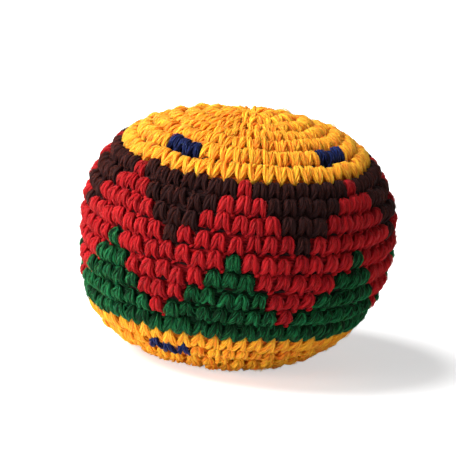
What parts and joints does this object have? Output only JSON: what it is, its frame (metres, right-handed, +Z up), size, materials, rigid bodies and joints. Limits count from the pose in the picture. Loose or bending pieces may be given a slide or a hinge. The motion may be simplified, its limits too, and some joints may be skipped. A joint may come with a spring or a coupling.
{
  "type": "footbag",
  "caption": "Round crocheted footbag with a zigzag band between a gold crown and base, filled with plastic pellets and resting on its flattened base.",
  "frame": {"origin": "middle of the flattened underside, on the surface that the bag stands on", "axes": "+Z up along the bag's axis, from the base to the crown; -Y faces the viewer of the picture, through a red peak of the zigzag"},
  "size_m": [0.054, 0.054, 0.0422],
  "materials": {
    "gold_yarn": "crocheted cotton, soft sheen",
    "blue_yarn": "crocheted cotton, soft sheen",
    "brown_yarn": "crocheted cotton, soft sheen",
    "red_yarn": "crocheted cotton, soft sheen",
    "green_yarn": "crocheted cotton, soft sheen",
    "carried_yarns": "loose strands carried behind the stitches",
    "pellets": "natural polyethylene pellets"
  },
  "bodies": {
    "root": {"crown_gold": "gold_yarn", "crown_blue_spot_1": "blue_yarn", "crown_blue_spot_2": "blue_yarn", "crown_blue_spot_3": "blue_yarn", "crown_blue_spot_4": "blue_yarn", "start_ring": "gold_yarn", "brown_triangle_1": "brown_yarn", "brown_triangle_2": "brown_yarn", "brown_triangle_3": "brown_yarn", "brown_triangle_4": "brown_yarn", "brown_triangle_5": "brown_yarn", "brown_triangle_6": "brown_yarn", "brown_triangle_7": "brown_yarn", "red_zigzag": "red_yarn", "green_zigzag": "green_yarn", "base_gold": "gold_yarn", "base_blue_spot_1": "blue_yarn", "base_blue_spot_2": "blue_yarn", "base_blue_spot_3": "blue_yarn", "closing_knot": "gold_yarn", "carried_band_yarns": "carried_yarns", "carried_crown_blue": "blue_yarn", "carried_base_blue": "blue_yarn", "pellet_fill": "pellets"}
  },
  "joints": []
}
